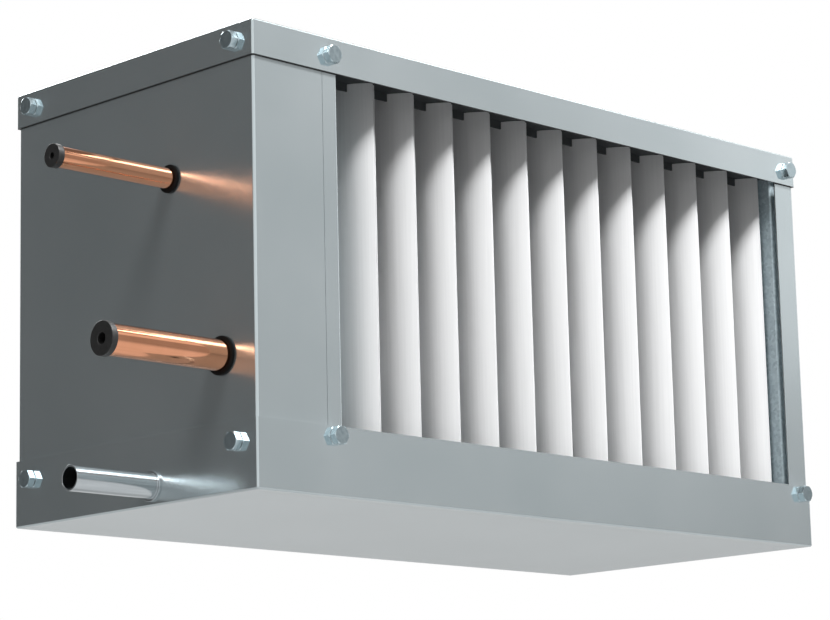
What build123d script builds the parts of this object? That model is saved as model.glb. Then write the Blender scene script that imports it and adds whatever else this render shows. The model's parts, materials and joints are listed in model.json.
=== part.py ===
"""Duct cooling coil: a finned refrigerant coil and a droplet eliminator in a folded steel casing.

Millimetres. The origin is the centre of the casing's underside, +Z is up, the air leaves through
the face at -Y and the pipes come out of the side at -X.
"""

import os
from math import cos, hypot, pi, radians, sin, sqrt

from build123d import *

os.makedirs("parts", exist_ok=True)

# Duct that the casing is built for
duct_width = 500.0
duct_height = 250.0

# Casing
depth = 265.0
case_sheet = 1.5
panel_sheet = 1.2
pan_height = 49.0
cover_height = 26.0
case_corner_radius = 2.0
panel_corner_radius = 2.0

# Air opening, the same on the outlet and the inlet face
opening_play = 2.0
opening_inset = 81.0
opening_margin_right = 25.0
left_return = 63.5
seam_gap = 0.4
wall_recess_right = 9.8
wall_offset_right = 4.0
wall_flange_right = 12.0

# Duct bolts, on the outlet and the inlet face, and hanger bolts on both sides
bolt_flange_allowance = 20.0
outlet_bolt_first_x = 67.6
bolt_below_pan_rim = 8.0
side_bolt_near_edge = 14.5
side_bolt_far_edge = 25.5
side_bolt_below_pan_rim = 16.0
side_bolt_below_top = 15.0
hex_across_flats = 12.0
head_thickness = 5.3
nut_thickness = 5.5
clamp_gap = 0.8
shank_radius = 4.0
shank_inside = 4.0
thread_flat_radius = 3.4
nut_clearance = 0.05
punch_clearance = 0.3

# Drip tray and drain
tray_sheet = 1.2
tray_height = 25.0
drain_radius = 9.0
drain_wall = 1.25
drain_reach = 72.0
drain_y = 110.0
drain_z = 14.0
drain_clearance = 0.3
drain_collar_radius = 11.0
drain_collar_length = 2.0

# Coil
tube_radius = 4.76
tube_pitch_z = 25.0
tube_pitch_y = 22.0
tube_stagger = 6.25
tube_flat_count = 8
bend_steps = 4
coil_front = 130.0
coil_above_pan_rim = 1.2
fin_thickness = 0.2
fin_pitch = 4.2
end_plate_sheet = 1.5
end_plate_margin = 10.0
window_margin = 4.0
tube_stickout = 6.0
return_bend_leg = 2.0

# Pipes of the connection side
pipe_wall = 1.1
suction_radius = 11.0
suction_y = 37.0
suction_z = 95.5
suction_reach = 98.0
liquid_radius = 7.5
liquid_y = 90.0
liquid_below_top = 97.5
liquid_reach = 98.0
rolled_seat_depth = 0.3
grommet_wall = 1.5
grommet_rim = 2.7
grommet_rim_thickness = 2.0
grommet_inside = 1.5
header_radius = 14.0
header_x = 58.0
header_overhang = 16.0
header_end_chamfer = 3.0
header_socket = 6.0
header_socket_clearance = 0.05
stub_bend_radius = 12.0
stub_bend_steps = 3
distributor_x = 20.0
distributor_neck = 8.0
distributor_length = 18.0
distributor_across_flats = 22.0
distributor_wall = 1.5
capillary_radius = 1.6
capillary_circle = 8.0
capillary_fan_degrees = 36.0
capillary_plane_x = 49.0
capillary_lead = 5.0
capillary_flat_count = 6

# Plugs in the pipe ends
plug_clearance = 0.05
plug_spigot = 12.0
plug_flange = 5.0
plug_rim = 0.9
plug_recess_depth = 8.0
suction_plug_recess = 4.0
liquid_plug_recess = 2.25

# Droplet eliminator
blade_pitch = 40.6
blade_first_inset = 51.6
blade_end_gap = 5.5
blade_front = 18.0
blade_depth = 60.0
blade_bulge = 15.0
blade_sheet = 1.6
blade_below_pan_rim = 13.0
blade_below_top = 19.0
hook_reach = 4.0
hook_setback = 6.0
hook_lip = 3.0
hook_sheet = 1.0
rail_sheet = 1.2
rail_overhang = 4.0
rib_height = 6.0
rib_inset = 14.0
rib_clearance = 0.3

# Casing faces
width = opening_inset + duct_width + opening_margin_right
height = pan_height + duct_height + opening_play + cover_height
left, right = -width / 2, width / 2
front, rear = -depth / 2, depth / 2
opening_left = left + opening_inset
opening_right = opening_left + duct_width
opening_middle = (opening_left + opening_right) / 2

# Faces where the sheets nest inside each other
panel_left = left + case_sheet
panel_right = right - case_sheet
panel_front = front + case_sheet
panel_rear = rear - case_sheet
tray_left = panel_left + panel_sheet
tray_right = panel_right - panel_sheet
tray_front = panel_front + panel_sheet
tray_rear = panel_rear - panel_sheet
pan_floor = case_sheet
tray_floor = pan_floor + tray_sheet
tray_rim = pan_floor + tray_height
cover_underside = height - case_sheet
wall_right_x = opening_right + wall_offset_right

# Coil block, with one circuit for each pair of tubes in a row
circuits = int(duct_height / (2 * tube_pitch_z))
tubes_high = 2 * circuits
coil_front_y = front + coil_front
coil_depth = 2 * tube_pitch_y
coil_height = tubes_high * tube_pitch_z
coil_bottom = pan_height + coil_above_pan_rim
coil_top = coil_bottom + coil_height
end_plate_left = opening_left
end_plate_right = wall_right_x - end_plate_sheet
row_front_y = coil_front_y + tube_pitch_y / 2
row_rear_y = row_front_y + tube_pitch_y
tube_end_x = end_plate_left - tube_stickout
bend_radius = tube_pitch_z / 2
bend_centre_x = wall_right_x


def tube_z(row_y, index):
    """Height of one tube of the staggered pattern."""
    shift = -tube_stagger if row_y == row_front_y else tube_stagger
    return coil_bottom + tube_pitch_z * (index + 0.5) + shift


def seat(x, y, z, outward):
    """Plane on a casing face, with its normal out of the casing and its own X level."""
    sideways = Vector(-outward[1], outward[0], 0)
    return Plane(origin=(x, y, z), x_dir=sideways, z_dir=outward)


# Bolt places; the inlet bolts are centred on the opening, and the right side is the left one turned round
bolt_spacing_x = duct_width + bolt_flange_allowance
bolt_first_z = pan_height - bolt_below_pan_rim
bolt_z = [bolt_first_z, bolt_first_z + duct_height + bolt_flange_allowance]
outlet_bolt_x = [left + outlet_bolt_first_x, left + outlet_bolt_first_x + bolt_spacing_x]
inlet_bolt_x = [opening_middle - bolt_spacing_x / 2, opening_middle + bolt_spacing_x / 2]
left_bolt_y = [front + side_bolt_near_edge, rear - side_bolt_far_edge]
right_bolt_y = [front + side_bolt_far_edge, rear - side_bolt_near_edge]
side_bolt_z = [pan_height - side_bolt_below_pan_rim, height - side_bolt_below_top]
outlet_seats = [seat(x, front, z, (0, -1, 0)) for x in outlet_bolt_x for z in bolt_z]
inlet_seats = [seat(x, rear, z, (0, 1, 0)) for x in inlet_bolt_x for z in bolt_z]
left_seats = [seat(left, y, z, (-1, 0, 0)) for y in left_bolt_y for z in side_bolt_z]
right_seats = [seat(right, y, z, (1, 0, 0)) for y in right_bolt_y for z in side_bolt_z]
all_seats = outlet_seats + inlet_seats + left_seats + right_seats

# Places of the pipes on the connection side
liquid_z = height - liquid_below_top
suction_seat = seat(left, front + suction_y, suction_z, (-1, 0, 0))
liquid_seat = seat(left, front + liquid_y, liquid_z, (-1, 0, 0))
drain_seat = seat(left, front + drain_y, drain_z, (-1, 0, 0))


def punch_bolt_holes(seats):
    """Square-punched bolt holes through whatever sheets lie behind the seats."""
    side = 2 * (shank_radius + punch_clearance)
    for place in seats:
        with BuildSketch(place) as hole:
            Rectangle(side, side)
        extrude(hole.sketch, amount=-(case_sheet + 2 * panel_sheet), mode=Mode.SUBTRACT)


def save(piece, name):
    """Label one finished piece and write it to its own file."""
    piece.label = name
    export_step(piece, f"parts/{name}.step")


def folded_tray(bottom, top, x_span, y_span, sheet, corner, open_top):
    """Open sheet tray between two heights, with rounded upright corners."""
    length, breadth = x_span[1] - x_span[0], y_span[1] - y_span[0]
    centre = ((x_span[0] + x_span[1]) / 2, (y_span[0] + y_span[1]) / 2)
    floor = bottom + sheet if open_top else bottom
    with BuildSketch(Plane.XY.offset(bottom)) as outside:
        with Locations(centre):
            RectangleRounded(length, breadth, corner)
    extrude(outside.sketch, amount=top - bottom)
    with BuildSketch(Plane.XY.offset(floor)) as inside:
        with Locations(centre):
            RectangleRounded(length - 2 * sheet, breadth - 2 * sheet, corner - sheet)
    extrude(inside.sketch, amount=top - bottom - sheet, mode=Mode.SUBTRACT)


# Bottom pan with its flange on all four sides
with BuildPart() as bottom_pan:
    folded_tray(0, pan_height, (left, right), (front, rear), case_sheet, case_corner_radius, True)
    punch_bolt_holes([place for place in all_seats if place.origin.Z < height / 2])
    with BuildSketch(drain_seat):
        Circle(drain_radius + drain_clearance)
    extrude(amount=-case_sheet, mode=Mode.SUBTRACT)
save(bottom_pan.part, "bottom_pan")

# Top cover, the same fold turned over
with BuildPart() as top_cover:
    folded_tray(
        height - cover_height, height, (left, right), (front, rear), case_sheet, case_corner_radius, False
    )
    punch_bolt_holes([place for place in all_seats if place.origin.Z > height / 2])
save(top_cover.part, "top_cover")


def side_panel_section(outer_x, return_end, toward):
    """Middle line of a side panel: its face and the two folded returns."""
    mid = panel_sheet / 2
    face_x = outer_x + toward * mid
    FilletPolyline(
        (return_end, panel_front + mid),
        (face_x, panel_front + mid),
        (face_x, panel_rear - mid),
        (return_end, panel_rear - mid),
        radius=panel_corner_radius - mid,
    )


# Side panel of the connection side, folded round to the seam on both faces
with BuildPart() as left_side_panel:
    with BuildSketch(Plane.XY.offset(pan_floor)):
        with BuildLine() as panel_line:
            side_panel_section(panel_left, panel_left + left_return + case_sheet, 1)
        trace(panel_line.line, line_width=panel_sheet)
    extrude(amount=cover_underside - pan_floor)
    punch_bolt_holes(all_seats)
    with BuildSketch(suction_seat):
        Circle(suction_radius + grommet_wall)
    with BuildSketch(liquid_seat):
        Circle(liquid_radius + grommet_wall)
    with BuildSketch(drain_seat):
        Circle(drain_radius + drain_clearance)
    extrude(amount=-(case_sheet + panel_sheet), mode=Mode.SUBTRACT)
save(left_side_panel.part, "left_side_panel")

# Side panel of the bend side, its returns ending at the opening
with BuildPart() as right_side_panel:
    with BuildSketch(Plane.XY.offset(pan_floor)):
        with BuildLine() as panel_line:
            side_panel_section(panel_right, opening_right, -1)
        trace(panel_line.line, line_width=panel_sheet)
    extrude(amount=cover_underside - pan_floor)
    punch_bolt_holes(all_seats)
save(right_side_panel.part, "right_side_panel")


def coil_window(web_x, thickness):
    """Window in a duct wall that lets the tube bends through."""
    middle_y = coil_front_y + coil_depth / 2
    middle_z = (coil_bottom + coil_top) / 2
    place = Plane(origin=(web_x, middle_y, middle_z), x_dir=(0, 1, 0), z_dir=(1, 0, 0))
    with BuildSketch(place) as opening:
        Rectangle(coil_depth - window_margin, coil_height)
    extrude(opening.sketch, amount=thickness, both=True, mode=Mode.SUBTRACT)


# Duct wall of the connection side; its folded edges are the stiles beside the opening
with BuildPart() as duct_wall_left:
    mid = panel_sheet / 2
    stile_end = panel_left + left_return + case_sheet + seam_gap
    with BuildSketch(Plane.XY.offset(tray_rim)):
        with BuildLine() as wall_line:
            FilletPolyline(
                (stile_end, panel_front + mid),
                (opening_left - mid, panel_front + mid),
                (opening_left - mid, panel_rear - mid),
                (stile_end, panel_rear - mid),
                radius=panel_corner_radius - mid,
            )
        trace(wall_line.line, line_width=panel_sheet)
    extrude(amount=cover_underside - tray_rim)
    with BuildSketch(Plane.XY.offset(tray_floor)):
        with Locations((opening_left - mid, 0)):
            Rectangle(panel_sheet, tray_rear - tray_front - 2 * tray_sheet)
    extrude(amount=tray_rim - tray_floor)
    coil_window(opening_left, panel_sheet)
    punch_bolt_holes(outlet_seats + inlet_seats)
save(duct_wall_left.part, "duct_wall_left")

# Duct wall of the bend side, set back from both faces
with BuildPart() as duct_wall_right:
    with BuildSketch(Plane.XY.offset(tray_floor)):
        with BuildLine() as wall_line:
            FilletPolyline(
                (wall_right_x + wall_flange_right, front + wall_recess_right + mid),
                (wall_right_x + mid, front + wall_recess_right + mid),
                (wall_right_x + mid, rear - wall_recess_right - mid),
                (wall_right_x + wall_flange_right, rear - wall_recess_right - mid),
                radius=panel_corner_radius - mid,
            )
        trace(wall_line.line, line_width=panel_sheet)
    extrude(amount=cover_underside - tray_floor)
    coil_window(wall_right_x, panel_sheet)
save(duct_wall_right.part, "duct_wall_right")

# Drip tray inside the pan
with BuildPart() as drip_tray:
    folded_tray(
        pan_floor,
        tray_rim,
        (tray_left, tray_right),
        (tray_front, tray_rear),
        tray_sheet,
        case_corner_radius,
        True,
    )
    with BuildSketch(drain_seat):
        Circle(drain_radius + drain_clearance)
    extrude(amount=-(tray_left + tray_sheet - left), mode=Mode.SUBTRACT)
save(drip_tray.part, "drip_tray")

# Drain pipe with its weld collar against the pan
with BuildPart() as drain_pipe:
    with BuildSketch(drain_seat.offset(drain_reach)):
        Circle(drain_radius)
    extrude(amount=-(drain_reach + tray_left + tray_sheet - left))
    with BuildSketch(drain_seat):
        Circle(drain_collar_radius)
    extrude(amount=drain_collar_length)
    with BuildSketch(drain_seat.offset(drain_reach)):
        Circle(drain_radius - drain_wall)
    extrude(amount=-(drain_reach + tray_left + tray_sheet - left), mode=Mode.SUBTRACT)
save(drain_pipe.part, "drain_pipe")


def end_plate(name, plate_x):
    """Plate that the tubes pass through, held between tray and cover."""
    with BuildPart() as plate:
        with BuildSketch(Plane.XY.offset(tray_floor)):
            with Locations((plate_x + end_plate_sheet / 2, coil_front_y + coil_depth / 2)):
                Rectangle(end_plate_sheet, coil_depth + 2 * end_plate_margin)
        extrude(amount=cover_underside - tray_floor)
    save(plate.part, name)


end_plate("coil_end_plate_left", end_plate_left)
end_plate("coil_end_plate_right", end_plate_right)

block_left = end_plate_left + end_plate_sheet
block_length = end_plate_right - block_left


def folded_channel(web_z, foot_z, x_span, y_span):
    """Folded channel along X: its web at one height and its two legs turned to the other."""
    toward = 1 if foot_z < web_z else -1
    edge_front = y_span[0] + rail_sheet / 2
    edge_rear = y_span[1] - rail_sheet / 2
    web_mid = web_z - toward * rail_sheet / 2
    place = Plane(origin=(x_span[0], 0, 0), x_dir=(0, 1, 0), z_dir=(1, 0, 0))
    with BuildSketch(place) as section:
        with BuildLine() as channel_line:
            FilletPolyline(
                (edge_front, foot_z),
                (edge_front, web_mid),
                (edge_rear, web_mid),
                (edge_rear, foot_z),
                radius=panel_corner_radius - rail_sheet / 2,
            )
        trace(channel_line.line, line_width=rail_sheet)
    extrude(section.sketch, amount=x_span[1] - x_span[0])


coil_x_span = (block_left, end_plate_right)
coil_y_span = (coil_front_y, coil_front_y + coil_depth)

# Channel that carries the fins above the tray
with BuildPart() as coil_support_channel:
    folded_channel(coil_bottom, tray_floor, coil_x_span, coil_y_span)
save(coil_support_channel.part, "coil_support_channel")

# Channel that closes the gap between the fins and the cover
with BuildPart() as coil_top_channel:
    folded_channel(coil_top, cover_underside, coil_x_span, coil_y_span)
save(coil_top_channel.part, "coil_top_channel")

# Fins, one thin plate each
fin_count = int(block_length / fin_pitch)
fin_first_x = block_left + (block_length - (fin_count - 1) * fin_pitch) / 2
with BuildPart() as fin_pack:
    with Locations((fin_first_x, coil_front_y + coil_depth / 2, (coil_bottom + coil_top) / 2)):
        with Locations(*[(index * fin_pitch, 0, 0) for index in range(fin_count)]):
            Box(fin_thickness, coil_depth, coil_height)
save(fin_pack.part, "fin_pack")


def arc_points(centre, radius, start, sweep, steps):
    """Points of an arc in a plane, both ends included."""
    angles = [start + sweep * step / steps for step in range(steps + 1)]
    return [(centre[0] + radius * cos(a), centre[1] + radius * sin(a)) for a in angles]


def flat_sided_tube(points, radius, flat_count):
    """Tube along straight runs with mitred corners, its round section drawn with a few flats."""
    with BuildPart() as tube:
        with BuildLine() as route:
            Polyline(*points)
        with BuildSketch(Plane(origin=points[0], z_dir=Vector(*points[1]) - Vector(*points[0]))):
            RegularPolygon(radius, flat_count)
        sweep(path=route.line, transition=Transition.RIGHT)
    return tube.part


# Hairpins: two legs through the fins and the bend on the right
hairpins = []
for row_y in (row_front_y, row_rear_y):
    for index in range(0, tubes_high, 2):
        middle = (tube_z(row_y, index) + tube_z(row_y, index + 1)) / 2
        bend = arc_points((bend_centre_x, middle), bend_radius, -pi / 2, pi, bend_steps)
        outline = [(tube_end_x, middle - bend_radius)] + bend + [(tube_end_x, middle + bend_radius)]
        hairpins.append(flat_sided_tube([(x, row_y, z) for x, z in outline], tube_radius, tube_flat_count))
save(Compound(children=hairpins), "coil_hairpins")

# Return bends: from the rear row to the front row on the left, one in each circuit
return_bends = []
for circuit in range(circuits):
    start = Vector(tube_end_x, row_rear_y, tube_z(row_rear_y, 2 * circuit))
    finish = Vector(tube_end_x, row_front_y, tube_z(row_front_y, 2 * circuit + 1))
    middle = (start + finish) / 2
    across = (start - finish) / 2
    bend = arc_points((0, return_bend_leg), across.length, 0, pi, bend_steps)
    outline = [(across.length, 0)] + bend + [(-across.length, 0)]
    points = [middle + across.normalized() * u - Vector(v, 0, 0) for u, v in outline]
    return_bends.append(flat_sided_tube([tuple(point) for point in points], tube_radius, tube_flat_count))
save(Compound(children=return_bends), "return_bends")


grommet_face = grommet_rim_thickness - case_sheet
grommet_length = grommet_rim_thickness + panel_sheet + grommet_inside


def pipe_with_seat(place, radius, reach, inner_x):
    """Pipe out of the side, drawn down a little from the grommet inwards."""
    with BuildSketch(place.offset(reach)) as section:
        Circle(radius)
    extrude(section.sketch, amount=grommet_face - reach)
    with BuildSketch(place.offset(grommet_face)) as drawn_section:
        Circle(radius - rolled_seat_depth)
    extrude(drawn_section.sketch, amount=left - inner_x - grommet_face)
    with BuildSketch(place.offset(reach)) as bore:
        Circle(radius - pipe_wall)
    extrude(bore.sketch, amount=left - inner_x - reach, mode=Mode.SUBTRACT)


suction_inner_x = left + header_x - header_radius + header_socket

header_bottom = tube_z(row_front_y, 0) - header_overhang
header_top = tube_z(row_front_y, 2 * (circuits - 1)) + header_overhang

# Suction header, closed at both ends, with a stub from each circuit
with BuildPart() as suction_header:
    with BuildSketch(Plane.XY.offset(header_bottom)):
        with Locations((left + header_x, front + suction_y)):
            Circle(header_radius)
    extrude(amount=header_top - header_bottom)
    chamfer(suction_header.edges().filter_by(GeomType.CIRCLE), header_end_chamfer)
    for circuit in range(circuits):
        stub_z = tube_z(row_front_y, 2 * circuit)
        corner = (left + header_x + stub_bend_radius, row_front_y - stub_bend_radius)
        bend = arc_points(corner, stub_bend_radius, pi / 2, pi / 2, stub_bend_steps)
        outline = [(tube_end_x, row_front_y)] + bend + [(left + header_x, front + suction_y)]
        add(flat_sided_tube([(x, y, stub_z) for x, y in outline], tube_radius, tube_flat_count))
    with BuildSketch(Plane(origin=(suction_inner_x, front + suction_y, suction_z), z_dir=(-1, 0, 0))):
        Circle(suction_radius - rolled_seat_depth + header_socket_clearance)
    extrude(amount=header_radius, mode=Mode.SUBTRACT)
save(suction_header.part, "suction_header")

# Copper pipe to the suction line
with BuildPart() as suction_connection:
    pipe_with_seat(suction_seat, suction_radius, suction_reach, suction_inner_x)
save(suction_connection.part, "suction_connection")

# Copper pipe to the liquid line
with BuildPart() as liquid_connection:
    pipe_with_seat(liquid_seat, liquid_radius, liquid_reach, left + distributor_x)
save(liquid_connection.part, "liquid_connection")

# Distributor, brass with a hexagonal body, that shares the liquid between the circuits
with BuildPart() as distributor:
    with BuildSketch(liquid_seat.offset(-distributor_x)):
        Circle(liquid_radius + distributor_wall)
    extrude(amount=-distributor_neck)
    with BuildSketch(liquid_seat.offset(-distributor_x - distributor_neck)):
        RegularPolygon(distributor_across_flats / 2, 6, major_radius=False)
    extrude(amount=distributor_neck - distributor_length)
save(distributor.part, "distributor")

# Capillaries, one from the distributor to the first tube of each circuit
capillaries = []
capillary_start_x = left + distributor_x + distributor_length
for circuit in range(circuits):
    turn = radians(capillary_fan_degrees) * (circuit - (circuits - 1) / 2)
    source_y = front + liquid_y + capillary_circle * cos(turn)
    source_z = liquid_z + capillary_circle * sin(turn)
    target_z = tube_z(row_rear_y, 2 * circuit + 1)
    run_y, run_z = row_rear_y - source_y, target_z - source_z
    run = hypot(run_y, run_z)
    step_y, step_z = capillary_lead * run_y / run, capillary_lead * run_z / run
    points = [
        (capillary_start_x, source_y, source_z),
        (left + capillary_plane_x - capillary_lead, source_y, source_z),
        (left + capillary_plane_x, source_y + step_y, source_z + step_z),
        (left + capillary_plane_x, row_rear_y - step_y, target_z - step_z),
        (left + capillary_plane_x + capillary_lead, row_rear_y, target_z),
        (tube_end_x, row_rear_y, target_z),
    ]
    capillaries.append(flat_sided_tube(points, capillary_radius, capillary_flat_count))
save(Compound(children=capillaries), "capillaries")


def grommet(name, place, radius):
    """Rubber ring round a pipe, its rim against the panel and its neck through the hole."""
    with BuildPart() as ring:
        with BuildSketch(place.offset(grommet_face)):
            Circle(radius + grommet_rim)
        extrude(amount=-grommet_rim_thickness)
        with BuildSketch(place.offset(-case_sheet)):
            Circle(radius + grommet_wall)
        extrude(amount=-(panel_sheet + grommet_inside))
        with BuildSketch(place.offset(grommet_face)):
            Circle(radius - rolled_seat_depth)
        extrude(amount=-grommet_length, mode=Mode.SUBTRACT)
    save(ring.part, name)


grommet("suction_grommet", suction_seat, suction_radius)
grommet("liquid_grommet", liquid_seat, liquid_radius)


def plug(name, place, radius, reach, recess):
    """Transport plug: a flange on the pipe's end, a spigot in its bore and a blind hole."""
    with BuildPart() as stopper:
        with BuildSketch(place.offset(reach)):
            Circle(radius + plug_rim)
        extrude(amount=plug_flange)
        with BuildSketch(place.offset(reach)):
            Circle(radius - pipe_wall - plug_clearance)
        extrude(amount=-plug_spigot)
        with BuildSketch(place.offset(reach + plug_flange)):
            Circle(recess)
        extrude(amount=-plug_recess_depth, mode=Mode.SUBTRACT)
    save(stopper.part, name)


plug("suction_plug", suction_seat, suction_radius, suction_reach, suction_plug_recess)
plug("liquid_plug", liquid_seat, liquid_radius, liquid_reach, liquid_plug_recess)

# Droplet eliminator: the arc of a blade, and where the ribs of the rails cross it
arc_radius = ((blade_depth / 2) ** 2 + blade_bulge**2) / (2 * blade_bulge)
blade_front_y = front + blade_front
blade_middle_y = blade_front_y + blade_depth / 2
blade_bottom = pan_height - blade_below_pan_rim
blade_top = height - blade_below_top
blade_room = duct_width + wall_offset_right - blade_first_inset - blade_end_gap
blade_count = 1 + int(blade_room / blade_pitch)


def blade_x(blade_nose_x, y):
    """X of the middle of a blade's sheet at one depth."""
    return blade_nose_x - blade_bulge + arc_radius - sqrt(arc_radius**2 - (y - blade_middle_y) ** 2)


def blade(name, nose_x):
    """One curved blade with the hook that holds back the water."""
    hook_y = blade_front_y + hook_setback
    with BuildPart() as vane:
        with BuildSketch(Plane.XY.offset(blade_bottom)):
            with BuildLine() as arc:
                ThreePointArc(
                    (nose_x, blade_front_y),
                    (nose_x - blade_bulge, blade_middle_y),
                    (nose_x, blade_front_y + blade_depth),
                )
            trace(arc.line, line_width=blade_sheet)
            with BuildLine() as hook:
                Polyline(
                    (blade_x(nose_x, hook_y), hook_y),
                    (nose_x + hook_reach, hook_y),
                    (nose_x + hook_reach, hook_y - hook_lip),
                )
            trace(hook.line, line_width=hook_sheet)
        extrude(amount=blade_top - blade_bottom)
    save(vane.part, name)


nose_positions = [opening_left + blade_first_inset + blade_pitch * index for index in range(blade_count)]
for index, nose_x in enumerate(nose_positions):
    blade(f"blade_{index + 1:02d}", nose_x)


def blade_rail(name, web_z, foot_z):
    """Channel across the casing with two notched ribs that hold the blades apart."""
    upward = 1 if foot_z < web_z else -1
    rib_offset = blade_depth / 2 - rib_inset
    slope = rib_offset / sqrt(arc_radius**2 - rib_offset**2)
    notch = (blade_sheet * hypot(1, slope) + rail_sheet * slope) + 2 * rib_clearance
    length = wall_right_x - opening_left
    y_span = (blade_front_y - rail_overhang, blade_front_y + blade_depth + rail_overhang)
    with BuildPart() as rail:
        folded_channel(web_z, foot_z, (opening_left, wall_right_x), y_span)
        for rib_y in (blade_middle_y - rib_offset, blade_middle_y + rib_offset):
            middle = (opening_left + length / 2, rib_y + rail_sheet / 2, web_z + upward * rib_height / 2)
            place = Plane(origin=middle, x_dir=(1, 0, 0), z_dir=(0, -1, 0))
            notch_places = [(blade_x(x, rib_y) - middle[0], 0) for x in nose_positions]
            with BuildSketch(place) as rib:
                Rectangle(length, rib_height)
                with Locations(*notch_places):
                    Rectangle(notch, rib_height, mode=Mode.SUBTRACT)
            extrude(rib.sketch, amount=rail_sheet)
    save(rail.part, name)


blade_rail("blade_rail_bottom", blade_bottom, tray_floor)
blade_rail("blade_rail_top", blade_top, cover_underside)

def hexagon(flat_radius, mode=Mode.ADD):
    """Hexagon with a corner at the top, given the distance from its middle to a flat."""
    RegularPolygon(flat_radius, 6, major_radius=False, rotation=30, mode=mode)


# Hexagon bolts: a round shank in the open gap, and the thread drawn with six flats
bolt_inside = case_sheet + panel_sheet + shank_inside
with BuildPart() as casing_bolts:
    for place in all_seats:
        with BuildSketch(place.offset(nut_thickness + clamp_gap)) as head:
            hexagon(hex_across_flats / 2)
        extrude(head.sketch, amount=head_thickness)
        with BuildSketch(place.offset(nut_thickness)) as shank:
            Circle(shank_radius)
        extrude(shank.sketch, amount=clamp_gap)
        with BuildSketch(place.offset(nut_thickness)) as thread:
            hexagon(thread_flat_radius)
        extrude(thread.sketch, amount=-(nut_thickness + bolt_inside))
save(casing_bolts.part, "casing_bolts")

# Nuts against the casing
with BuildPart() as casing_nuts:
    for place in all_seats:
        with BuildSketch(place) as ring:
            hexagon(hex_across_flats / 2)
            hexagon(thread_flat_radius + nut_clearance, Mode.SUBTRACT)
        extrude(ring.sketch, amount=nut_thickness)
save(casing_nuts.part, "casing_nuts")
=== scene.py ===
"""Duct cooling coil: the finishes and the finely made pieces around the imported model."""

import json
from math import cos, pi, radians

import bpy
from mathutils import Matrix, Vector

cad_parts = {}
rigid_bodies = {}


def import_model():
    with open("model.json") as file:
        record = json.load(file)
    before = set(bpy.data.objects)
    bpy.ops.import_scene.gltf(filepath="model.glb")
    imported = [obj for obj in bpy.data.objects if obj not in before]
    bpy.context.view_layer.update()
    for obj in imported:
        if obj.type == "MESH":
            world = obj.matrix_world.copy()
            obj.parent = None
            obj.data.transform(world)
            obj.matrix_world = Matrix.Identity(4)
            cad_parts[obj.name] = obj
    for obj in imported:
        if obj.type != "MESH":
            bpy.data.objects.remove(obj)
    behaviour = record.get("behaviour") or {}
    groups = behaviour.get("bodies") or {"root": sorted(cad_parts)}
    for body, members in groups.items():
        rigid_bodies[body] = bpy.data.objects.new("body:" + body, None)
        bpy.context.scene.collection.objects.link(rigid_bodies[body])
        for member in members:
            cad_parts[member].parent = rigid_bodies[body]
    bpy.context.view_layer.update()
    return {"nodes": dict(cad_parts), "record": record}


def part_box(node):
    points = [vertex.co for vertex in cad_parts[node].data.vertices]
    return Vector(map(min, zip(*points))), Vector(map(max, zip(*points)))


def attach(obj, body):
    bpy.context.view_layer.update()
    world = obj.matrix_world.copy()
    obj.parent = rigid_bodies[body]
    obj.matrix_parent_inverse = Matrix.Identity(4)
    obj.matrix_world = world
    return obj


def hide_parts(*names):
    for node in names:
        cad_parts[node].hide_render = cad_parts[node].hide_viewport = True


for leftover in list(bpy.data.objects):
    bpy.data.objects.remove(leftover)

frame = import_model()

MM = 0.001
SLOT_OF = {row["node"]: row["material_slot"] for row in frame["record"]["subparts"]}
BODY_OF = {
    node: body for body, nodes in frame["record"]["behaviour"]["bodies"].items() for node in nodes
}

# Sheet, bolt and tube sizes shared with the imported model
CASE_SHEET = 1.5 * MM
HEX_ACROSS_FLATS = 12.0 * MM
NUT_THICKNESS = 5.5 * MM
HEAD_THICKNESS = 5.3 * MM
CLAMP_GAP = 0.8 * MM
SHANK_RADIUS = 4.0 * MM
BOLT_INSIDE = 6.7 * MM
PUNCHED_HOLE = 8.6 * MM
DRAIN_HOLE_RADIUS = 9.3 * MM

PAN_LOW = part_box("bottom_pan")[0]
COVER_LOW, COVER_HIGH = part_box("top_cover")
CASE_MIDDLE = (PAN_LOW + COVER_HIGH) / 2
CASE_HALF = (COVER_HIGH - PAN_LOW) / 2

# Folds, eased edges and corner chamfers
FOLD_RADIUS = 1.6 * MM
FOLD_SEGMENTS = 4
SHEET_EASE = 0.14 * MM
PIPE_EASE = 0.25 * MM
GROMMET_EASE = 0.8 * MM
PLUG_EASE = 0.5 * MM
BLADE_EASE = 0.35 * MM
RUBBER_SEGMENTS = 3
HEX_CORNER_RADIUS = HEX_ACROSS_FLATS / 2 / cos(pi / 6)
TURNED_RADIUS = HEX_CORNER_RADIUS + 0.05 * MM
CHAMFER_INSET = 0.95 * MM
CHAMFER_HEIGHT = 0.5 * MM
NUT_BORE_RADIUS = 0.97 * SHANK_RADIUS
THREAD_RADIUS = 0.96 * SHANK_RADIUS
THREAD_CHAMFER = 0.8 * MM

# Corrugated fins
FIN_PITCH = 2.5 * MM
FIN_SHEET = 0.16 * MM
FIN_WAVE = 0.7 * MM
FIN_FOLDS = 16

# Mesh work
MERGE_DISTANCE = 0.002 * MM
FLAT_ANGLE = radians(0.6)
SHARP_ANGLE = radians(30)
SHEET_SMOOTHING = radians(35)
HEXAGON_SMOOTHING = radians(25)
TUBE_SMOOTHING = radians(50)
ROUND_VERTICES = 48
TURNED_VERTICES = 72
THREAD_VERTICES = 32
HEXAGON_VERTICES = 6

# Share of a direction above which a face or an axis counts as pointing that way
FACING = 0.9

# Camera
CAMERA_PLACE = Vector((-1.55863, -1.52764, -0.25394))
CAMERA_FORWARD = Vector((0.69673, 0.69031, 0.19504))
CAMERA_ROLL = radians(-1.349)
CAMERA_LENS = 123.018
CAMERA_SENSOR = 36.0


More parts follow.
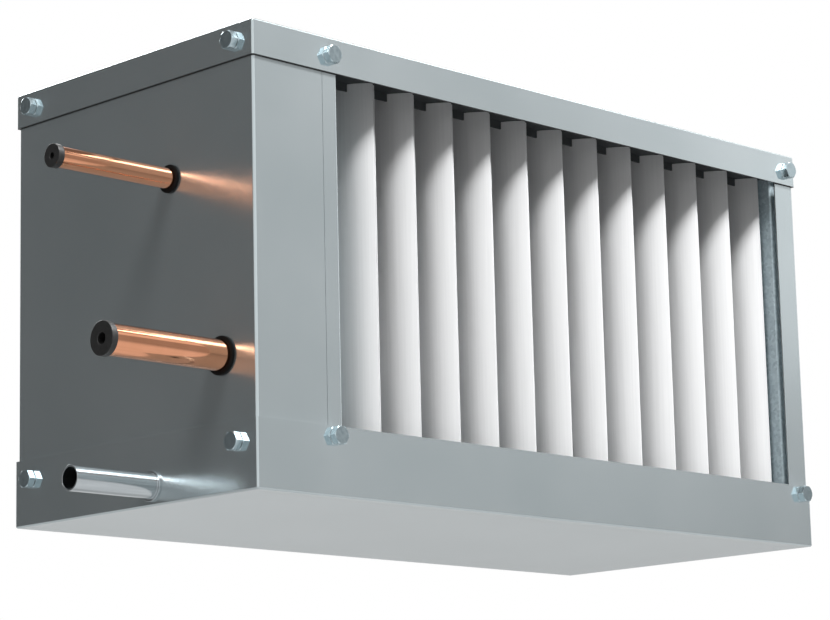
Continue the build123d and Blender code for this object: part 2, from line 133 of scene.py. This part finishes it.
def make_camera():
    """Camera at the photograph's place, looking slightly up at the hung casing."""
    data = bpy.data.cameras.new("photo_camera")
    data.lens = CAMERA_LENS
    data.sensor_width = CAMERA_SENSOR
    camera = bpy.data.objects.new("photo_camera", data)
    bpy.context.scene.collection.objects.link(camera)
    level = CAMERA_FORWARD.to_track_quat("-Z", "Y")
    camera.rotation_mode = "QUATERNION"
    camera.rotation_quaternion = level @ Matrix.Rotation(CAMERA_ROLL, 3, "Z").to_quaternion()
    camera.location = CAMERA_PLACE
    bpy.context.scene.camera = camera


make_camera()


# Shader arithmetic and the finishes
# Painted shadow along the seam under the cover's flange: its width and its grey
SHADOW_SEAM_WIDTH = 1.3 * MM
SHADOW_SEAM_GREY = 0.035
# Painted shade in the gap between each nut and its bolt's head: its width and its grey
SHADED_GAP_BAND = 1.7 * MM
SHADED_GAP_GREY = 0.01
BAND_STOPS = [(0.2, 1.0), (0.35, 0.0), (0.65, 0.0), (0.8, 1.0)]


class Value:
    """A shader socket that takes part in Python arithmetic."""

    def __init__(self, tree, socket):
        self.tree = tree
        self.socket = socket

    def combine(self, operation, first, second):
        """Maths node on two values or plain numbers."""
        node = self.tree.nodes.new("ShaderNodeMath")
        node.operation = operation
        for socket, value in zip(node.inputs, (first, second)):
            if isinstance(value, Value):
                self.tree.links.new(value.socket, socket)
            else:
                socket.default_value = value
        return Value(self.tree, node.outputs[0])

    def __add__(self, other):
        return self.combine("ADD", self, other)

    def __radd__(self, other):
        return self.combine("ADD", other, self)

    def __sub__(self, other):
        return self.combine("SUBTRACT", self, other)

    def __rsub__(self, other):
        return self.combine("SUBTRACT", other, self)

    def __mul__(self, other):
        return self.combine("MULTIPLY", self, other)

    def __rmul__(self, other):
        return self.combine("MULTIPLY", other, self)

    def away_from_zero(self):
        return self.combine("ABSOLUTE", self, 0.0)

    def larger(self, other):
        return self.combine("MAXIMUM", self, other)


def as_colour(value):
    """A grey or a colour as red, green, blue and full cover."""
    if isinstance(value, (int, float)):
        return (value, value, value, 1.0)
    return (*value[:3], 1.0)


def set_stops(ramp, stops):
    """Give a colour ramp its stops; each is a position and a grey or a colour."""
    while len(ramp.elements) < len(stops):
        ramp.elements.new(position=0.5)
    for element, (position, colour) in zip(ramp.elements, stops):
        element.position = position
        element.color = as_colour(colour)


class Shading:
    """A node tree with one short way to add any node."""

    def __init__(self, tree):
        self.tree = tree

    def node(self, kind, settings=None, inputs=None, output=0):
        """Add a node: its settings first, then the values or links of its sockets."""
        node = self.tree.nodes.new(kind)
        for name, value in (settings or {}).items():
            if name == "stops":
                set_stops(node.color_ramp, value)
            else:
                setattr(node, name, value)
        for name, value in (inputs or {}).items():
            self.feed(node.inputs[name], value)
        return Value(self.tree, node.outputs[output])

    def feed(self, socket, value):
        """Link a value to a socket, or write a plain number or colour in it."""
        if isinstance(value, Value):
            self.tree.links.new(value.socket, socket)
        else:
            socket.default_value = value

    def ramp(self, factor, stops):
        """Colour ramp over a factor."""
        return self.node("ShaderNodeValToRGB", settings={"stops": stops}, inputs={"Fac": factor})

    def mix(self, factor, first, second):
        """Mix of two colours, which are sockets 6 and 7 of the node and its output 2."""
        inputs = {"Factor": factor, 6: first, 7: second}
        return self.node("ShaderNodeMix", settings={"data_type": "RGBA"}, inputs=inputs, output=2)

    def ray(self, kind):
        """One on rays of this kind, and zero on all others."""
        return self.node("ShaderNodeLightPath", output=f"Is {kind} Ray")


class Finish(Shading):
    """A material under construction on the piece's own coordinates."""

    def __init__(self, name, **settings):
        self.material = bpy.data.materials.new(name)
        self.material.use_nodes = True
        super().__init__(self.material.node_tree)
        self.shader = self.tree.nodes["Principled BSDF"]
        for words, value in settings.items():
            self.shader.inputs[words.replace("_", " ").title()].default_value = value
        self.place = self.node("ShaderNodeTexCoord", output="Object")

    def set(self, name, value):
        """Feed a socket of the shader."""
        self.feed(self.shader.inputs[name], value)

    def axes(self):
        """The piece's three coordinates, one by one."""
        return [
            self.node("ShaderNodeSeparateXYZ", inputs={0: self.place}, output=axis) for axis in range(3)
        ]

    def stretched(self, scale):
        """The piece's coordinates, scaled along each axis."""
        return self.node("ShaderNodeMapping", inputs={"Vector": self.place, "Scale": scale})

    def noise(self, scale, detail=2.0, roughness=0.5, place=None):
        """Cloudy pattern between zero and one."""
        inputs = {
            "Vector": place or self.place, "Scale": scale, "Detail": detail, "Roughness": roughness
        }
        return self.node("ShaderNodeTexNoise", inputs=inputs)

    def shades(self, factor, dark, light, spread=0.2):
        """Colour between two shades, over the middle of a factor's range."""
        return self.ramp(factor, [(0.5 - spread, dark), (0.5 + spread, light)])

    def band(self, value, middle, width):
        """One everywhere, and zero in a narrow band round one value."""
        across = (value - middle) * (1.0 / width) + 0.5
        return self.ramp(across, BAND_STOPS)

    def bump(self, height, distance, strength):
        """Fine relief on the surface."""
        inputs = {"Height": height, "Distance": distance, "Strength": strength}
        self.set("Normal", self.node("ShaderNodeBump", inputs=inputs))


def galvanised_casing():
    """Smooth bluish sheet, with a painted shadow along the seam under the cover's flange."""
    finish = Finish("galvanised_casing", metallic=0.8)
    cloud = finish.noise(scale=9.0, detail=3.0)
    grain = finish.noise(scale=900.0)
    sheet = finish.shades(cloud, dark=(0.52, 0.585, 0.605), light=(0.57, 0.63, 0.65))
    height = finish.axes()[2]
    # Painted shadow: a dark band at the height of the cover's lower edge, on every casing piece
    off_painted_shadow = finish.band(height, COVER_LOW.z, SHADOW_SEAM_WIDTH)
    finish.set("Base Color", finish.mix(off_painted_shadow, as_colour(SHADOW_SEAM_GREY), sheet))
    finish.set("Roughness", 0.19 + cloud * 0.06 + grain * 0.015)
    finish.bump(finish.noise(scale=55.0, detail=1.0), distance=0.02 * MM, strength=0.04)
    return finish.material


def spangled_zinc():
    """Sheet of the duct walls with its small zinc crystals."""
    finish = Finish("spangled_zinc", metallic=0.3)
    crystals = {"Vector": finish.place, "Scale": 420.0}
    cells = finish.node("ShaderNodeTexVoronoi", inputs=crystals, output="Color")
    cell = finish.node("ShaderNodeSeparateColor", inputs={"Color": cells})
    cloud = finish.noise(scale=60.0)
    shade = cell * 0.6 + cloud * 0.4
    colour = finish.shades(shade, dark=(0.52, 0.64, 0.69), light=(0.72, 0.84, 0.89), spread=0.3)
    finish.set("Base Color", colour)
    finish.set("Roughness", 0.4 + cell * 0.2)
    finish.bump(cell, distance=0.02 * MM, strength=0.4)
    return finish.material


def painted_shade_zinc():
    """Zinc sheet of the blade rails, painted dark for the shade they lie in."""
    finish = Finish("painted_shade_zinc", metallic=0.3)
    cloud = finish.noise(scale=70.0, detail=3.0)
    finish.set("Base Color", finish.shades(cloud, dark=(0.035, 0.04, 0.043), light=(0.06, 0.067, 0.07)))
    finish.set("Roughness", 0.5 + cloud * 0.2)
    return finish.material


def stainless_tray():
    """Sheet drawn along the tray and the drain pipe."""
    finish = Finish("stainless_tray", metallic=1.0)
    drawn = finish.noise(scale=30.0, detail=3.0, place=finish.stretched((1.0, 20.0, 20.0)))
    finish.set("Base Color", finish.shades(drawn, dark=(0.45, 0.49, 0.51), light=(0.53, 0.57, 0.59)))
    finish.set("Roughness", 0.16 + drawn * 0.12)
    finish.bump(drawn, distance=0.01 * MM, strength=0.4)
    return finish.material


def fin_aluminium():
    finish = Finish("fin_aluminium", metallic=0.35)
    cloud = finish.noise(scale=45.0, detail=3.0)
    finish.set("Base Color", finish.shades(cloud, dark=(0.82, 0.83, 0.84), light=(0.9, 0.91, 0.92)))
    finish.set("Roughness", 0.26 + cloud * 0.14)
    return finish.material


def copper():
    """Bright tube, drawn along its length and a little tarnished."""
    finish = Finish("copper", metallic=1.0)
    tarnish = finish.noise(scale=38.0, detail=4.0, roughness=0.6)
    drawn = finish.noise(scale=60.0, place=finish.stretched((0.4, 16.0, 16.0)))
    shade = tarnish * 0.6 + drawn * 0.4
    finish.set("Base Color", finish.shades(shade, dark=(0.68, 0.31, 0.17), light=(0.82, 0.38, 0.23)))
    finish.set("Roughness", 0.07 + shade * 0.08)
    finish.bump(drawn, distance=0.01 * MM, strength=0.35)
    return finish.material


def brass():
    """Turned metal of the distributor."""
    finish = Finish("brass", metallic=1.0)
    turned = finish.noise(scale=80.0, place=finish.stretched((14.0, 1.0, 1.0)))
    finish.set("Base Color", finish.shades(turned, dark=(0.62, 0.42, 0.16), light=(0.78, 0.58, 0.27)))
    finish.set("Roughness", 0.2 + turned * 0.12)
    return finish.material


def black_rubber():
    finish = Finish("black_rubber")
    skin = finish.noise(scale=260.0, detail=3.0)
    finish.set("Base Color", finish.shades(skin, dark=0.004, light=0.009))
    finish.set("Roughness", 0.5 + skin * 0.2)
    finish.set("Specular IOR Level", 0.12)
    finish.bump(skin, distance=0.03 * MM, strength=0.4)
    return finish.material


def black_plastic():
    finish = Finish("black_plastic")
    skin = finish.noise(scale=420.0, detail=3.0)
    finish.set("Base Color", finish.shades(skin, dark=0.014, light=0.024))
    finish.set("Roughness", 0.34 + skin * 0.16)
    finish.bump(skin, distance=0.02 * MM, strength=0.5)
    return finish.material


def white_polypropylene():
    """Plastic drawn along the length of the blades."""
    finish = Finish("white_polypropylene")
    drawn = finish.noise(scale=40.0, place=finish.stretched((18.0, 18.0, 0.3)))
    finish.set("Base Color", finish.shades(drawn, dark=(0.77, 0.775, 0.78), light=(0.81, 0.815, 0.82)))
    finish.set("Roughness", 0.3 + drawn * 0.12)
    finish.bump(drawn, distance=0.02 * MM, strength=0.3)
    return finish.material


def zinc_plated_steel():
    """Bright plating, with painted shade in the gap between each nut and its bolt's head."""
    finish = Finish("zinc_plated_steel", metallic=1.0)
    plate = finish.noise(scale=320.0, detail=3.0)
    zinc = finish.shades(plate, dark=(0.44, 0.54, 0.58), light=(0.52, 0.62, 0.66))
    across, along = finish.axes()[:2]
    beyond_side = (across - CASE_MIDDLE.x).away_from_zero() - CASE_HALF.x
    beyond_front = (along - CASE_MIDDLE.y).away_from_zero() - CASE_HALF.y
    # Painted shade: a black, non-metallic band at the height of the gap between nut and head
    off_painted_gap_shade = finish.band(beyond_side.larger(beyond_front), NUT_THICKNESS + CLAMP_GAP / 2, SHADED_GAP_BAND)
    finish.set("Base Color", finish.mix(off_painted_gap_shade, as_colour(SHADED_GAP_GREY), zinc))
    finish.set("Metallic", off_painted_gap_shade)
    finish.set("Roughness", 0.16 + plate * 0.14)
    return finish.material


MATERIALS = {
    make.__name__: make()
    for make in (
        galvanised_casing,
        spangled_zinc,
        painted_shade_zinc,
        stainless_tray,
        fin_aluminium,
        copper,
        brass,
        black_rubber,
        black_plastic,
        white_polypropylene,
        zinc_plated_steel,
    )
}


# Modelling helpers
def pick_only(*pieces):
    """Select these pieces alone and make the first the active one."""
    bpy.ops.object.select_all(action="DESELECT")
    for piece in pieces:
        piece.select_set(True)
    if pieces:
        bpy.context.view_layer.objects.active = pieces[0]


def edit_only(piece, kind, wanted):
    """Open a piece for editing, with only its corners, edges or faces selected that pass a test."""
    pick_only(piece)
    bpy.ops.object.mode_set(mode="EDIT")
    bpy.ops.mesh.select_mode(type=kind)
    bpy.ops.mesh.select_all(action="DESELECT")
    bpy.ops.object.mode_set(mode="OBJECT")
    mesh = piece.data
    for part in {"VERT": mesh.vertices, "EDGE": mesh.edges, "FACE": mesh.polygons}[kind]:
        part.select = wanted(part)
    bpy.ops.object.mode_set(mode="EDIT")


def close_edit():
    bpy.ops.object.mode_set(mode="OBJECT")


def apply_modifier(piece, kind, **settings):
    """Add one modifier, set it and apply it."""
    pick_only(piece)
    modifier = piece.modifiers.new(kind.lower(), kind)
    for name, value in settings.items():
        setattr(modifier, name, value)
    bpy.ops.object.modifier_apply(modifier=modifier.name)


def settle(piece):
    """Move the piece's place into its mesh."""
    pick_only(piece)
    bpy.ops.object.transform_apply(location=True, rotation=True, scale=True)


def smooth(piece, angle=SHEET_SMOOTHING):
    """Smooth shading that leaves the large flat faces flat."""
    pick_only(piece)
    bpy.ops.object.shade_smooth_by_angle(angle=angle)
    apply_modifier(piece, "WEIGHTED_NORMAL", weight=100, keep_sharp=True)


def ease_edges(piece, width, segments=2):
    """Round every sharp edge of a piece."""
    apply_modifier(
        piece, "BEVEL", width=width, segments=segments, limit_method="ANGLE", angle_limit=SHARP_ANGLE
    )


def cut_away(piece, cutter):
    """Cut one closed shape out of another."""
    apply_modifier(piece, "BOOLEAN", operation="DIFFERENCE", object=cutter, solver="EXACT")
    bpy.data.objects.remove(cutter)


def add_box(low, high):
    """Box primitive between two corners."""
    pick_only()
    bpy.ops.mesh.primitive_cube_add(size=1.0, location=(low + high) / 2, scale=high - low)
    box = bpy.context.active_object
    settle(box)
    return box


def add_round(radius, low, high, vertices=ROUND_VERTICES):
    """Upright cylinder primitive on the vertical axis, between two heights."""
    pick_only()
    middle = (low + high) / 2
    bpy.ops.mesh.primitive_cylinder_add(
        vertices=vertices, radius=radius, depth=high - low, location=(0, 0, middle)
    )
    cylinder = bpy.context.active_object
    settle(cylinder)
    return cylinder


def dress(piece, node):
    """Finish a piece like the node it stands for, and let it ride on that node's body."""
    slot = SLOT_OF[node]
    piece.data.materials.clear()
    piece.data.materials.append(MATERIALS[slot])
    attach(piece, BODY_OF[node])
    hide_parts(node)


def merged_copy(node):
    """The node's shape as one joined mesh with flat faces made whole."""
    mesh = frame["nodes"][node].data.copy()
    piece = bpy.data.objects.new(f"{node}_finished", mesh)
    bpy.context.scene.collection.objects.link(piece)
    edit_only(piece, "VERT", lambda corner: True)
    bpy.ops.mesh.remove_doubles(threshold=MERGE_DISTANCE)
    bpy.ops.mesh.dissolve_limited(angle_limit=FLAT_ANGLE)
    close_edit()
    return piece


def eased_copy(node, width, segments=2):
    """The node's shape with its sharp edges rounded, in place of the plain one."""
    piece = merged_copy(node)
    ease_edges(piece, width, segments)
    smooth(piece)
    dress(piece, node)
    return piece


# Seats of the bolts
def bolt_seats():
    """Middle of each nut's seat on the casing, and the direction out of the casing."""
    pick_only(merged_copy("casing_nuts"))
    bpy.ops.mesh.separate(type="LOOSE")
    seats = []
    for nut in list(bpy.context.selected_objects):
        corners = [corner.co.copy() for corner in nut.data.vertices]
        low = Vector([min(corner[axis] for corner in corners) for axis in range(3)])
        high = Vector([max(corner[axis] for corner in corners) for axis in range(3)])
        middle = (low + high) / 2
        thin_axis = 0 if high.x - low.x < high.y - low.y else 1
        outward = Vector((0, 0, 0))
        outward[thin_axis] = 1 if middle[thin_axis] > CASE_MIDDLE[thin_axis] else -1
        seats.append((middle - outward * (NUT_THICKNESS / 2), outward))
        bpy.data.objects.remove(nut)
    return sorted(seats, key=lambda seat: tuple(round(value, 4) for value in seat[0]))


BOLT_SEATS = bolt_seats()


# Folded pan and cover
def folded_sheet_tray(node, open_side):
    """Sheet tray with its folds rounded; open_side is 1 for open above and -1 for open below."""
    low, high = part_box(node)
    rim_height = high.z if open_side == 1 else low.z
    tray = add_box(low, high)
    tray.name = f"{node}_finished"

    def is_fold(edge):
        ends = [tray.data.vertices[end] for end in edge.vertices]
        return any(abs(end.co.z - rim_height) > MERGE_DISTANCE for end in ends)

    edit_only(tray, "FACE", lambda face: face.normal.z * open_side > FACING)
    bpy.ops.mesh.delete(type="ONLY_FACE")
    close_edit()
    edit_only(tray, "EDGE", is_fold)
    bpy.ops.mesh.bevel(
        offset=FOLD_RADIUS, segments=FOLD_SEGMENTS, profile=0.5, affect="EDGES", clamp_overlap=True
    )
    close_edit()
    apply_modifier(tray, "SOLIDIFY", thickness=CASE_SHEET, offset=-1.0, use_even_offset=True)
    return tray


def punch(tray, node):
    """Square bolt holes through the flange of a tray, under each nut."""
    low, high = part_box(node)
    reach = 2 * FOLD_RADIUS
    for place, outward in BOLT_SEATS:
        if low.z < place.z < high.z:
            half = Vector([reach if along else PUNCHED_HOLE / 2 for along in outward])
            cut_away(tray, add_box(place - half, place + half))


def make_pan():
    """Bottom pan with its bolt holes and the hole of the drain pipe."""
    pan = folded_sheet_tray("bottom_pan", 1)
    punch(pan, "bottom_pan")
    drain_low, drain_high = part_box("drain_pipe")
    middle = (drain_low + drain_high) / 2
    cutter = add_round(DRAIN_HOLE_RADIUS, -2 * FOLD_RADIUS, 2 * FOLD_RADIUS)
    cutter.rotation_euler.y = pi / 2
    cutter.location = (PAN_LOW.x, middle.y, middle.z)
    settle(cutter)
    cut_away(pan, cutter)
    smooth(pan)
    dress(pan, "bottom_pan")


def make_cover():
    cover = folded_sheet_tray("top_cover", -1)
    punch(cover, "top_cover")
    smooth(cover)
    dress(cover, "top_cover")


make_pan()
make_cover()


# Hexagon bolts and nuts
def chamfered_hexagon(thickness):
    """Hexagon on the ground plane, with the corners of its upper end turned off to a cone."""
    blank = add_round(HEX_CORNER_RADIUS, 0, thickness, HEXAGON_VERTICES)
    turned = add_round(TURNED_RADIUS, 0, thickness - CHAMFER_HEIGHT, TURNED_VERTICES)
    edit_only(turned, "FACE", lambda face: face.normal.z > FACING)
    bpy.ops.mesh.inset(thickness=CHAMFER_INSET, depth=CHAMFER_HEIGHT, use_even_offset=False)
    close_edit()
    apply_modifier(blank, "BOOLEAN", operation="INTERSECT", object=turned, solver="EXACT")
    bpy.data.objects.remove(turned)
    return blank


def turn_out(outward):
    """Turn from upright to a direction out of the casing, with flats of the hexagon above and below."""
    turn = Vector((0, 0, 1)).rotation_difference(outward).to_matrix().to_4x4()
    flat_is_up = abs((turn @ Vector((1, 0, 0))).z) > FACING
    return turn @ Matrix.Rotation(0 if flat_is_up else pi / 2, 4, "Z")


def place_on_seats(pattern, node):
    """Copies of one fastener part on every seat, joined into one piece."""
    copies = []
    for place, outward in BOLT_SEATS:
        copy = pattern.copy()
        copy.data = pattern.data.copy()
        bpy.context.scene.collection.objects.link(copy)
        copy.matrix_world = Matrix.Translation(place) @ turn_out(outward)
        settle(copy)
        copies.append(copy)
    bpy.data.objects.remove(pattern)
    pick_only(*copies)
    bpy.ops.object.join()
    joined = bpy.context.active_object
    joined.name = f"{node}_finished"
    smooth(joined, HEXAGON_SMOOTHING)
    joined.visible_glossy = False
    joined.visible_shadow = False
    dress(joined, node)


def make_nuts():
    nut = chamfered_hexagon(NUT_THICKNESS)
    cut_away(nut, add_round(NUT_BORE_RADIUS, -NUT_THICKNESS / 2, 1.5 * NUT_THICKNESS))
    place_on_seats(nut, "casing_nuts")


def make_bolts():
    """Heads beyond the nuts, each on a shank that reaches through the casing."""
    head_seat = NUT_THICKNESS + CLAMP_GAP
    head = chamfered_hexagon(HEAD_THICKNESS)
    head.location.z = head_seat
    settle(head)
    shank = add_round(THREAD_RADIUS, -BOLT_INSIDE, head_seat, THREAD_VERTICES)
    ease_edges(shank, THREAD_CHAMFER, 1)
    pick_only(head, shank)
    bpy.ops.object.join()
    place_on_seats(head, "casing_bolts")


make_nuts()
make_bolts()


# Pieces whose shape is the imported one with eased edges
for sheet_node in (
    "left_side_panel",
    "right_side_panel",
    "duct_wall_left",
    "duct_wall_right",
    "drip_tray",
    "coil_end_plate_left",
    "coil_end_plate_right",
    "coil_support_channel",
    "coil_top_channel",
):
    eased_copy(sheet_node, SHEET_EASE)

for rail_node in ("blade_rail_top", "blade_rail_bottom"):
    rail = eased_copy(rail_node, SHEET_EASE)
    # Painted shade: the rails take the dark zinc in place of their own slot's finish
    rail.data.materials[0] = MATERIALS["painted_shade_zinc"]

for pipe_node in ("drain_pipe", "suction_connection", "liquid_connection"):
    eased_copy(pipe_node, PIPE_EASE)

for grommet_node in ("suction_grommet", "liquid_grommet"):
    eased_copy(grommet_node, GROMMET_EASE, RUBBER_SEGMENTS)

for plug_node in ("suction_plug", "liquid_plug"):
    eased_copy(plug_node, PLUG_EASE, RUBBER_SEGMENTS)

for blade_node in sorted(name for name in frame["nodes"] if name[:6] == "blade_" and name[6:].isdigit()):
    eased_copy(blade_node, BLADE_EASE)

# Tubes of the coil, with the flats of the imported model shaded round
for tube_node in ("coil_hairpins", "return_bends", "suction_header", "distributor", "capillaries"):
    tube = merged_copy(tube_node)
    smooth(tube, TUBE_SMOOTHING)
    dress(tube, tube_node)


def make_fins():
    """One corrugated fin, every second fold of it moved sideways, repeated along the tubes."""
    low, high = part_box("fin_pack")
    size = high - low
    middle = (low + high) / 2
    pick_only()
    bpy.ops.mesh.primitive_grid_add(x_subdivisions=FIN_FOLDS, y_subdivisions=1, size=1.0)
    fins = bpy.context.active_object
    fins.name = "fin_pack_finished"
    fins.rotation_euler = (pi / 2, 0, pi / 2)
    fins.scale = (size.y, size.z, 1.0)
    fins.location = (low.x + FIN_SHEET / 2, middle.y, middle.z)
    settle(fins)
    fold_depth = size.y / FIN_FOLDS
    edit_only(fins, "VERT", lambda corner: round((corner.co.y - low.y) / fold_depth) % 2 == 1)
    bpy.ops.transform.translate(value=(FIN_WAVE, 0, 0))
    close_edit()
    apply_modifier(fins, "SOLIDIFY", thickness=FIN_SHEET, offset=0.0)
    apply_modifier(
        fins,
        "ARRAY",
        count=1 + int((size.x - FIN_WAVE - FIN_SHEET) / FIN_PITCH),
        use_relative_offset=False,
        use_constant_offset=True,
        constant_offset_displace=(FIN_PITCH, 0, 0),
    )
    dress(fins, "fin_pack")


make_fins()


# Stage: floor, studio surroundings, lamps and cards
FLOOR_DROP = 0.5
FLOOR_SIZE = 16.0
FLOOR_SHADE = 0.2
FLOOR_ROUGHNESS = 0.9
FLOOR_IN_VIEW = 0.7
FLOOR_IN_METAL = 0.38
PLAIN_LIGHT = 0.05


def add_stage_plane(name, place, size):
    """Flat plane of the stage, facing up."""
    pick_only()
    bpy.ops.mesh.primitive_plane_add(size=1.0, location=place)
    plane = bpy.context.active_object
    plane.name = name
    plane.scale = (*size, 1.0)
    return plane


def make_floor():
    """Pale floor that keeps shadows, and is clear to a camera below it."""
    floor = add_stage_plane("floor", (0, 0, -FLOOR_DROP), (FLOOR_SIZE, FLOOR_SIZE))
    paper = Finish("floor", roughness=FLOOR_ROUGHNESS)
    paper.set("Base Color", as_colour(FLOOR_SHADE))
    paper.set("Emission Color", as_colour(1.0))
    lift = paper.ray("Camera") * FLOOR_IN_VIEW + paper.ray("Glossy") * FLOOR_IN_METAL
    paper.set("Emission Strength", lift)
    from_below = paper.node("ShaderNodeNewGeometry", output="Backfacing")
    solid = Value(paper.tree, paper.shader.outputs[0])
    clear = paper.node("ShaderNodeBsdfTransparent")
    surface = paper.node("ShaderNodeMixShader", inputs={0: from_below, 1: solid, 2: clear})
    paper.feed(paper.tree.nodes["Material Output"].inputs["Surface"], surface)
    floor.data.materials.append(paper.material)


def make_surroundings():
    """White to the camera and in reflections, with a plain level of light on matt surfaces."""
    world = bpy.data.worlds.new("studio")
    bpy.context.scene.world = world
    world.use_nodes = True
    world.node_tree.nodes.clear()
    studio = Shading(world.node_tree)
    shown = studio.ray("Camera") + studio.ray("Glossy") + studio.ray("Transmission")
    not_matt = 1.0 - studio.ray("Diffuse")
    seen = studio.node("ShaderNodeClamp", inputs={"Value": shown * not_matt})
    strength = seen + (1.0 - seen) * PLAIN_LIGHT
    white = {"Color": as_colour(1.0), "Strength": strength}
    background = studio.node("ShaderNodeBackground", inputs=white)
    output = studio.tree.nodes.new("ShaderNodeOutputWorld")
    studio.feed(output.inputs["Surface"], background)


def add_flag(name, place, size, shade):
    """Grey card that only the reflections on the metal show."""
    flag = add_stage_plane(name, place, size)
    flag.rotation_mode = "QUATERNION"
    flag.rotation_quaternion = (CASE_MIDDLE - Vector(place)).to_track_quat("Z", "Y")
    card = Finish(name)
    card.set("Base Color", as_colour(0.0))
    card.set("Specular IOR Level", 0.0)
    card.set("Emission Color", as_colour(1.0))
    card.set("Emission Strength", shade)
    flag.data.materials.append(card.material)
    flag.visible_camera = False
    flag.visible_diffuse = False
    flag.visible_shadow = False


def add_softbox(name, place, size, power):
    """Soft rectangular lamp that faces the casing."""
    data = bpy.data.lights.new(name, "AREA")
    data.shape = "RECTANGLE"
    data.size, data.size_y = size
    data.energy = power
    lamp = bpy.data.objects.new(name, data)
    bpy.context.scene.collection.objects.link(lamp)
    lamp.location = place
    lamp.rotation_mode = "QUATERNION"
    lamp.rotation_quaternion = (CASE_MIDDLE - Vector(place)).to_track_quat("-Z", "Y")


make_floor()
make_surroundings()
add_softbox("key_softbox", place=(0.32, -1.66, 2.88), size=(0.7, 0.6), power=240.0)
add_softbox("right_strip", place=(1.75, -0.92, 2.1), size=(0.9, 0.45), power=9.0)
add_softbox("left_strip", place=(-2.1, -0.9, 2.1), size=(0.9, 0.45), power=22.0)
add_softbox("rear_softbox", place=(1.0, 2.6, 1.9), size=(1.6, 1.0), power=90.0)
add_flag("left_flag", place=(-2.1, 2.2, 0.9), size=(3.6, 3.4), shade=0.14)
add_flag("overhead_flag", place=(1.4, -0.4, 3.0), size=(4.0, 2.4), shade=0.2)
add_flag("front_flag", place=(1.6, -2.4, 0.62), size=(1.75, 1.65), shade=0.44)
add_flag("low_flag", place=(2.5, -1.7, -0.1), size=(2.2, 1.4), shade=0.3)

bpy.context.scene.view_settings.view_transform = "Standard"
